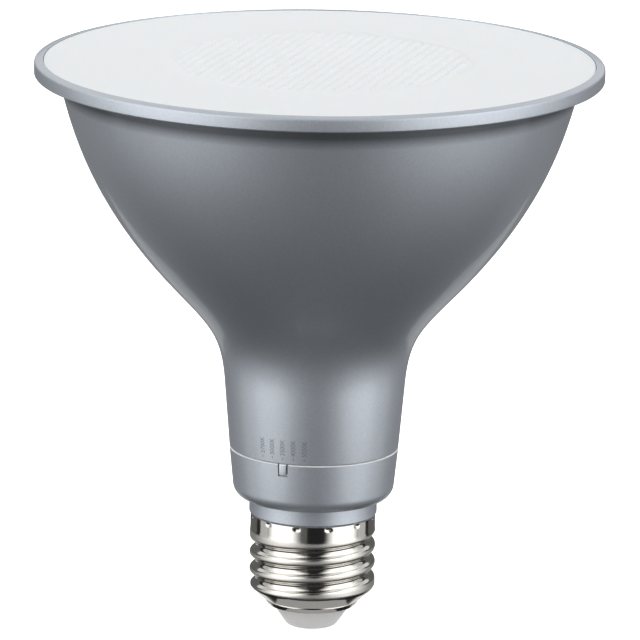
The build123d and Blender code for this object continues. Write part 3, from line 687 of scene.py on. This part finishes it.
# name: dark tone, light tone, metallic, roughness, grain in mm, bump strength, and what the eye sees
FINISHES = {
    "moulded_pale_insulator": ("e6e5e3", "edecea", 0.0, 0.32, 1.5, 0.05),  # smooth, nearly white
    "turned_brass": ("a98b55", "c4a66c", 1.0, 0.28, 0.5, 0.1),  # dull yellow metal
    "pressed_aluminium": ("b6b9bc", "cfd2d5", 1.0, 0.38, 0.8, 0.12),  # soft grey sheen
    "white_solder_mask": ("e4e6e6", "f0f1f1", 0.0, 0.35, 0.6, 0.06),  # clean white, lightly glossy
    "warm_phosphor_gel": ("d08a1e", "e8a838", 0.0, 0.4, 0.3, 0.1),  # orange for warm light
    "cool_phosphor_gel": ("d8cc3c", "ece06a", 0.0, 0.4, 0.3, 0.1),  # lemon for cool light
    "zinc_plated_steel": ("9fa2a4", "bcbfc1", 1.0, 0.35, 0.4, 0.1),  # grey, slightly mottled
    "white_moulded_plastic": ("e2e2df", "eeeeec", 0.0, 0.5, 1.0, 0.08),  # matt white
    "wire_insulation": ("d6d6d2", "e2e2de", 0.0, 0.45, 0.8, 0.05),  # off-white, waxy
    "green_solder_mask": ("14532d", "1f6b3d", 0.0, 0.35, 0.9, 0.12),  # deep green, lightly glossy
    "ground_ferrite": ("2a2a2d", "3a3a3e", 0.0, 0.6, 0.25, 0.3),  # dark, dry and grainy
    "yellow_winding_tape": ("c9a227", "dcb947", 0.0, 0.4, 0.7, 0.1),  # warm yellow film
    "black_shrink_sleeve": ("121216", "1e1e24", 0.0, 0.3, 1.2, 0.05),  # glossy black
    "blue_epoxy": ("1c3f7a", "285296", 0.0, 0.3, 1.0, 0.06),  # glossy dipped blue
    "grey_green_cement": ("6c8a80", "7f9c92", 0.0, 0.75, 0.3, 0.3),  # chalky grey green
    "black_moulding_compound": ("16161a", "222226", 0.0, 0.6, 0.3, 0.2),  # matt black
    "grey_printing_ink": ("74777d", "808389", 0.0, 0.6, 0.2, 0.05),  # flat grey, darker than the paint
}
finish = {}
for name, (dark, light, metallic, roughness, grain_size, bump) in FINISHES.items():
    finish[name], tree, shader, place = new_material(name)
    noise = add(tree, "ShaderNodeTexNoise", {"Scale": per_size(grain_size), "Detail": 3.0}, Vector=place)
    tones = add(tree, "ShaderNodeValToRGB", Fac=noise.outputs["Fac"])
    for element, code in zip(tones.color_ramp.elements, (dark, light)):
        element.color = linear(code)
    rough = add(
        tree, "ShaderNodeMapRange",
        {"To Min": roughness - ROUGHNESS_SPREAD, "To Max": roughness + ROUGHNESS_SPREAD},
        Value=noise.outputs["Fac"])
    relief = add(
        tree, "ShaderNodeBump", {"Strength": bump, "Distance": RELIEF * MM}, Height=noise.outputs["Fac"])
    tree.links.new(tones.outputs["Color"], shader.inputs["Base Color"])
    tree.links.new(rough.outputs["Result"], shader.inputs["Roughness"])
    tree.links.new(relief.outputs["Normal"], shader.inputs["Normal"])
    set_shader(shader, Metallic=metallic)
paint(insulator, finish["moulded_pale_insulator"])
paint(contact, finish["turned_brass"])
print("plain finishes:", len(finish))

# %% [markdown]
# ## Pieces kept from the CAD
# What is inside the lamp, and the neck under the ring, already has its right shape. It could be modelled
# again, but nobody would see a difference, so these pieces keep their CAD mesh and only get a finish.

# %% Pieces kept from the CAD
KEPT = {
    "base_neck": silver,
    "heat_sink_cup": finish["pressed_aluminium"],
    "led_board": finish["white_solder_mask"],
    "warm_leds": finish["warm_phosphor_gel"],
    "cool_leds": finish["cool_phosphor_gel"],
    "board_screws": finish["zinc_plated_steel"],
    "reflector": finish["white_moulded_plastic"],
    "led_connector": finish["white_moulded_plastic"],
    "led_wires": finish["wire_insulation"],
    "driver_board": finish["green_solder_mask"],
    "transformer_core": finish["ground_ferrite"],
    "transformer_coil": finish["yellow_winding_tape"],
    "input_capacitor": finish["black_shrink_sleeve"],
    "output_capacitor": finish["black_shrink_sleeve"],
    "film_capacitor": finish["blue_epoxy"],
    "varistor": finish["blue_epoxy"],
    "fuse_resistor": finish["grey_green_cement"],
    "bridge_rectifier": finish["black_moulding_compound"],
    "controller_chip": finish["black_moulding_compound"],
    "switch_body": finish["black_moulding_compound"],
    "switch_slider": finish["white_moulded_plastic"],
    "line_wire": finish["wire_insulation"],
    "neutral_wire": finish["wire_insulation"],
}
for name, material in KEPT.items():
    paint(nodes[name], material)
print("kept from the CAD:", len(KEPT))

# %% [markdown]
# ## Colour marks
# Five numbers are printed on the neck, one for each place of the ring. They read upwards, and each has a
# dash at the seam. A picture on the neck could show them, but text objects made into thin meshes stay sharp
# from any distance. Each is stretched to its size and stood on the cone of the neck by a matrix.

# %% Colour marks
MARKS = ("2700K", "3000K", "3500K", "4000K", "5000K")
MARK_PITCH_ANGLE = 7.5
FIRST_MARK_ANGLE = -126.3
TEXT_HEIGHT = 1.0
TEXT_LENGTH = 3.5
TEXT_CURVE_STEPS = 3
DASH_SIZE = (0.55, 0.16)
TEXT_FOOT = 41.2
DASH_FOOT = 40.25
INK = 0.03


def on_neck(angle, level):
    """Matrix that stands a flat piece on the neck: x runs up the cone and z points outwards."""
    out = Vector((math.cos(math.radians(angle)), math.sin(math.radians(angle)), 0))
    up = out * NECK_RISE.x + Vector((0, 0, 1)) * NECK_RISE.y
    normal = out * NECK_RISE.y - Vector((0, 0, 1)) * NECK_RISE.x
    left = normal.cross(up)
    radius = NECK_FOOT.x + (level - NECK_FOOT.y) * NECK_RISE.x / NECK_RISE.y
    stand = (out * radius + Vector((0, 0, level))) * MM
    return Matrix.Translation(stand) @ Matrix((up, left, normal)).transposed().to_4x4()


printed = []
for index, words in enumerate(MARKS):
    angle = FIRST_MARK_ANGLE + MARK_PITCH_ANGLE * index
    clear_selection()
    bpy.ops.object.text_add()
    text = bpy.context.object
    text.data.body = words
    text.data.align_y = "CENTER"
    text.data.resolution_u = TEXT_CURVE_STEPS
    bpy.ops.object.convert(target="MESH")
    label = bpy.context.object
    corners = [vertex.co for vertex in label.data.vertices]
    low = Vector([min(c[axis] for c in corners) for axis in (0, 1)])
    high = Vector([max(c[axis] for c in corners) for axis in (0, 1)])
    size = high - low
    centre = (low + high) / 2
    fit = Matrix.Diagonal((TEXT_LENGTH * MM / size.x, TEXT_HEIGHT * MM / size.y, 1, 1))
    label.data.transform(fit @ Matrix.Translation((-low.x, -centre.y, 0)))
    label.data.transform(on_neck(angle, TEXT_FOOT))
    dash = bar("dash", (0, -DASH_SIZE[1] / 2, -INK / 2), (DASH_SIZE[0], DASH_SIZE[1] / 2, INK / 2))
    dash.data.transform(on_neck(angle, DASH_FOOT))
    apply_modifier(label, "SOLIDIFY", thickness=INK * MM, offset=0.0)
    printed += [label, dash]
pick(printed[0])
for piece in printed:
    piece.select_set(True)
bpy.ops.object.join()
marks = bpy.context.object
marks.name = marks.data.name = "colour_marks"
paint(marks, finish["grey_printing_ink"])
hand_over(marks, "lamp", "black_moulding")

# %% [markdown]
# ## Floor
# The lamp stands on a pale round floor with an upright wall round it. A photographer would bend paper into a
# cove to hide the corner. Here floor and wall glow evenly, so that no corner shows, and only the camera sees
# them: the lamp in the photograph reflects no floor.

# %% Floor
FLOOR_RADIUS = 3.0
FLOOR_SIDES = 96
WALL_HEIGHT = 2.5
clear_selection()
bpy.ops.mesh.primitive_circle_add(vertices=FLOOR_SIDES, radius=FLOOR_RADIUS, fill_type="NGON")
floor = bpy.context.object
floor.name = "studio_floor"
bpy.ops.object.mode_set(mode="EDIT")
bpy.ops.mesh.select_all(action="SELECT")
bpy.ops.mesh.extrude_region_move(TRANSFORM_OT_translate={"value": (0, 0, WALL_HEIGHT)})
bpy.ops.mesh.delete(type="ONLY_FACE")
bpy.ops.object.mode_set(mode="OBJECT")
pale, tree, shader, place = new_material("pale_studio_floor")
set_shader(
    shader, Base_Color=linear("f0f0f0"), Roughness=0.9,
    Emission_Color=linear("ffffff"), Emission_Strength=0.9)
paint(floor, pale)
floor.visible_glossy = False
floor.visible_diffuse = False
floor.visible_transmission = False
floor.visible_shadow = False
print("made", floor.name)

# %% [markdown]
# ## Lights
# A polished metal shows its surroundings, so the studio is part of the finish. Two tall soft boxes stand at
# the sides, and the dark gap between them, where the camera is, becomes the dark stripe down the middle of
# neck and cap. Their upright edges fade out, so that the stripes on the lamp have soft edges too. The other
# lights are weak: they draw the outer edges, brighten the lens and fill what would be black. A picture of a
# real studio could light the lamp as well, but single lights can be moved until every stripe is in its place.

# %% Lights
AIM = Vector((0, 0, 0.07))
SIDE_FADE = 0.7
AIR_COLOUR = "e6eaf0"
AIR_STRENGTH = 0.025
# name: azimuth and elevation in degrees, distance, width and height in metres, brightness
SOFT_BOXES = {
    "left_soft_box": (-58, 15, 1.2, 2.2, 2.4, 1.82),
    "right_soft_box": (60, 15, 1.2, 2.2, 2.4, 1.82),
    "left_edge_box": (-102, 16, 1.2, 0.5, 2.3, 0.6),
    "right_edge_box": (104, 16, 1.2, 0.5, 2.3, 0.6),
    "front_left_fill": (-18, 0, 1.4, 0.4, 3.0, 0.12),
    "floor_bounce": (0, -60, 0.5, 1.0, 0.5, 0.04),
    "card_under_cap": (0, -89, 0.078, 0.026, 0.026, 0.4),
    "ceiling": (180, 62, 1.3, 3.2, 1.7, 0.75),
    "card_behind_lens": (180, 30, 0.28, 0.3, 0.12, 0.65),
    "back_fill": (180, 0, 1.2, 3.4, 2.4, 0.12),
    "low_back_box": (180, -33, 0.8, 0.8, 0.25, 0.7),
}
FADED = ("left_soft_box", "right_soft_box")


def soft_box(name, azimuth, elevation, distance, width, height, brightness):
    """Area light that faces the lamp; azimuth 0 is the camera's side, positive to its right."""
    turn = math.radians(azimuth)
    lift = math.radians(elevation)
    out = Vector((math.sin(turn) * math.cos(lift), -math.cos(turn) * math.cos(lift), math.sin(lift)))
    bpy.ops.object.light_add(type="AREA", location=AIM + out * distance)
    box = bpy.context.object
    box.name = name
    box.data.shape = "RECTANGLE"
    box.data.size = width
    box.data.size_y = height
    box.data.energy = brightness * math.pi * width * height
    box.rotation_euler = out.to_track_quat("Z", "Y").to_euler()
    box.visible_camera = False
    return box


def fade_sides(box, share):
    """Let a soft box grow darker towards its upright edges over a share of its half width."""
    box.data.use_nodes = True
    tree = box.data.node_tree
    spot = add(tree, "ShaderNodeNewGeometry").outputs["Parametric"]
    across = add(tree, "ShaderNodeSeparateXYZ", Vector=spot)
    glow = add(tree, "ShaderNodeValToRGB", Fac=across.outputs["X"])
    glow.color_ramp.interpolation = "EASE"
    for element in glow.color_ramp.elements:
        element.color = (0, 0, 0, 1)
    for position in (share / 2, 1 - share / 2):
        glow.color_ramp.elements.new(position).color = (1, 1, 1, 1)
    tree.links.new(glow.outputs["Color"], tree.nodes["Emission"].inputs["Color"])


for name, setting in SOFT_BOXES.items():
    box = soft_box(name, *setting)
    if name in FADED:
        fade_sides(box, SIDE_FADE)
world = bpy.data.worlds.new("studio_air")
bpy.context.scene.world = world
world.use_nodes = True
air = world.node_tree.nodes["Background"]
air.inputs["Color"].default_value = linear(AIR_COLOUR)
air.inputs["Strength"].default_value = AIR_STRENGTH
print("lights:", len(SOFT_BOXES))

# %% [markdown]
# ## Camera
# The photograph was taken with a long lens from a little above, so that upright edges stay almost parallel.
# Place, tilt and lens were worked out from the ellipses of rim and seam. A constraint could aim the camera
# at the lamp, but a matrix also holds the slight roll.

# %% Camera
CAMERA_PLACE = Vector((0.86, -1300.0, 376.22)) * MM
CAMERA_DROP = 13.412
CAMERA_ROLL = 0.894
SENSOR_WIDTH = 36.0
FOCAL_LENGTH = 360.55
CLIP_END = 20.0
camera_data = bpy.data.cameras.new("photo_camera")
camera_data.sensor_width = SENSOR_WIDTH
camera_data.lens = FOCAL_LENGTH
camera_data.clip_end = CLIP_END
camera = bpy.data.objects.new("photo_camera", camera_data)
bpy.context.scene.collection.objects.link(camera)
tilt = Matrix.Rotation(math.radians(90 - CAMERA_DROP), 4, "X")
roll = Matrix.Rotation(math.radians(CAMERA_ROLL), 4, "Z")
camera.matrix_world = Matrix.Translation(CAMERA_PLACE) @ tilt @ roll
bpy.context.scene.camera = camera
bpy.context.scene.view_settings.view_transform = "Standard"
print("camera at", tuple(CAMERA_PLACE))
